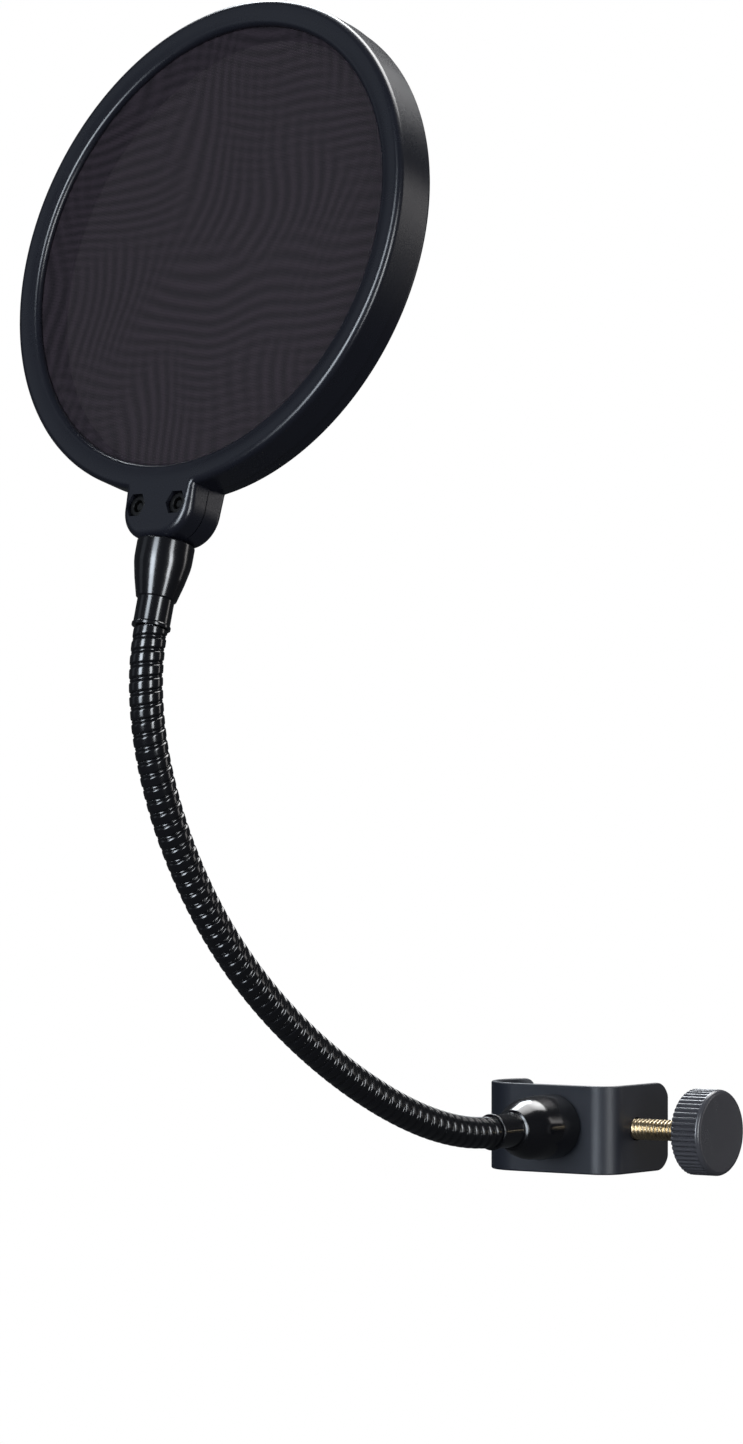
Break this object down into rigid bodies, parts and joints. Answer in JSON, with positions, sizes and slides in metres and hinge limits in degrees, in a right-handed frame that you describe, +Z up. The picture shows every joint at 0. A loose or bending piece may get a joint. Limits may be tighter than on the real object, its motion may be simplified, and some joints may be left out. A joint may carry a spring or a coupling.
{
  "type": "pop filter",
  "caption": "Round two-screen pop filter on a flexible gooseneck arm, with a C-shaped stand clamp and a knurled thumbscrew.",
  "frame": {"origin": "on the axis of the stand tube that the clamp grips, at the clamp's mid height", "axes": "+Z up along the stand tube, +X towards the thumbscrew's knob, -Y the way the arm leaves the clamp"},
  "size_m": [0.1378, 0.225, 0.3228],
  "materials": {
    "powder_coat": "satin black powder coat on bent steel strip",
    "gloss_black": "gloss black lacquer on turned fittings and wound wire",
    "head_plastic": "moulded black plastic with a fine satin grain",
    "screen_nylon": "sheer black nylon mesh, stretched flat",
    "knob_plastic": "satin black moulded plastic",
    "brass": "bright turned brass thread",
    "dark_steel": "black oxide steel hardware",
    "spring_steel": "plain drawn spring wire",
    "black_rubber": "matt black rubber"
  },
  "bodies": {
    "clamp": {"clamp_bracket": "powder_coat", "jaw_liner": "black_rubber", "clamp_nut": "dark_steel", "arm_fixing_screw": "dark_steel", "arm_lock_washer": "dark_steel", "lower_arm_fitting": "gloss_black", "outer_winding_01": "gloss_black", "inner_spring_01": "spring_steel"},
    "arm_link_02": {"outer_winding_02": "gloss_black", "inner_spring_02": "spring_steel"},
    "arm_link_03": {"outer_winding_03": "gloss_black", "inner_spring_03": "spring_steel"},
    "arm_link_04": {"outer_winding_04": "gloss_black", "inner_spring_04": "spring_steel"},
    "arm_link_05": {"outer_winding_05": "gloss_black", "inner_spring_05": "spring_steel"},
    "arm_link_06": {"outer_winding_06": "gloss_black", "inner_spring_06": "spring_steel"},
    "arm_link_07": {"outer_winding_07": "gloss_black", "inner_spring_07": "spring_steel"},
    "arm_link_08": {"outer_winding_08": "gloss_black", "inner_spring_08": "spring_steel"},
    "arm_link_09": {"outer_winding_09": "gloss_black", "inner_spring_09": "spring_steel"},
    "arm_link_10": {"outer_winding_10": "gloss_black", "inner_spring_10": "spring_steel"},
    "arm_link_11": {"outer_winding_11": "gloss_black", "inner_spring_11": "spring_steel"},
    "arm_link_12": {"outer_winding_12": "gloss_black", "inner_spring_12": "spring_steel"},
    "arm_end": {"outer_winding_13": "gloss_black", "inner_spring_13": "spring_steel", "upper_arm_fitting": "gloss_black"},
    "filter_head": {"front_ring_shell": "head_plastic", "rear_ring_shell": "head_plastic", "front_screen": "screen_nylon", "rear_screen": "screen_nylon", "screen_spacer_hoop": "head_plastic", "lug_nut_left": "dark_steel", "lug_nut_right": "dark_steel", "lug_screw_left": "dark_steel", "lug_screw_right": "dark_steel"},
    "pad": {"swivel_pad": "dark_steel", "pad_rubber": "black_rubber"},
    "thumbscrew": {"clamp_screw": "brass", "thumb_knob": "knob_plastic"}
  },
  "joints": [
    {"name": "arm_bend_1", "type": "hinge", "parent": "clamp", "child": "arm_link_02", "pos_m": [0.0175, -0.06371, 0.00236], "axis": [-1, 0, 0], "range_deg": [-15, 8]},
    {"name": "arm_sway_1", "type": "hinge", "parent": "arm_link_02", "child": "arm_link_03", "pos_m": [0.0175, -0.0811, 0.00653], "axis": [0, 0.2924, 0.9563], "range_deg": [-9, 9]},
    {"name": "arm_bend_2", "type": "hinge", "parent": "arm_link_03", "child": "arm_link_04", "pos_m": [0.0175, -0.09797, 0.01251], "axis": [-1, 0, 0], "range_deg": [-15, 8]},
    {"name": "arm_sway_2", "type": "hinge", "parent": "arm_link_04", "child": "arm_link_05", "pos_m": [0.0175, -0.11432, 0.01979], "axis": [0, 0.4384, 0.8988], "range_deg": [-9, 9]},
    {"name": "arm_bend_3", "type": "hinge", "parent": "arm_link_05", "child": "arm_link_06", "pos_m": [0.0175, -0.13012, 0.02819], "axis": [-1, 0, 0], "range_deg": [-15, 8]},
    {"name": "arm_sway_3", "type": "hinge", "parent": "arm_link_06", "child": "arm_link_07", "pos_m": [0.0175, -0.14526, 0.03774], "axis": [0, 0.5664, 0.8241], "range_deg": [-9, 9]},
    {"name": "arm_bend_4", "type": "hinge", "parent": "arm_link_07", "child": "arm_link_08", "pos_m": [0.0175, -0.1595, 0.04857], "axis": [-1, 0, 0], "range_deg": [-15, 8]},
    {"name": "arm_sway_4", "type": "hinge", "parent": "arm_link_08", "child": "arm_link_09", "pos_m": [0.0175, -0.17253, 0.06083], "axis": [0, 0.7254, 0.6884], "range_deg": [-9, 9]},
    {"name": "arm_bend_5", "type": "hinge", "parent": "arm_link_09", "child": "arm_link_10", "pos_m": [0.0175, -0.18397, 0.07458], "axis": [-1, 0, 0], "range_deg": [-15, 8]},
    {"name": "arm_sway_5", "type": "hinge", "parent": "arm_link_10", "child": "arm_link_11", "pos_m": [0.0175, -0.19345, 0.08975], "axis": [0, 0.8829, 0.4695], "range_deg": [-9, 9]},
    {"name": "arm_bend_6", "type": "hinge", "parent": "arm_link_11", "child": "arm_link_12", "pos_m": [0.0175, -0.20043, 0.1062], "axis": [-1, 0, 0], "range_deg": [-15, 8]},
    {"name": "arm_sway_6", "type": "hinge", "parent": "arm_link_12", "child": "arm_end", "pos_m": [0.0175, -0.20376, 0.12374], "axis": [0, 0.9981, 0.061], "range_deg": [-9, 9]},
    {"name": "head_swivel", "type": "hinge", "parent": "arm_end", "child": "filter_head", "pos_m": [0.0175, -0.20175, 0.14144], "axis": [0, 0.284, 0.9588], "range_deg": [-80, 80]},
    {"name": "pad_travel", "type": "slide", "parent": "clamp", "child": "pad", "axis": [-1, 0, 0], "range_m": [-0.0153, 0.014]},
    {"name": "screw_turn", "type": "hinge", "parent": "pad", "child": "thumbscrew", "pos_m": [0.0368, 0, 0], "axis": [-1, 0, 0], "range_deg": [-4340, 3972]}
  ],
  "couplings": [
    {"joint": "screw_turn", "follows": "pad_travel", "rad_per_m": 4947.4}
  ]
}
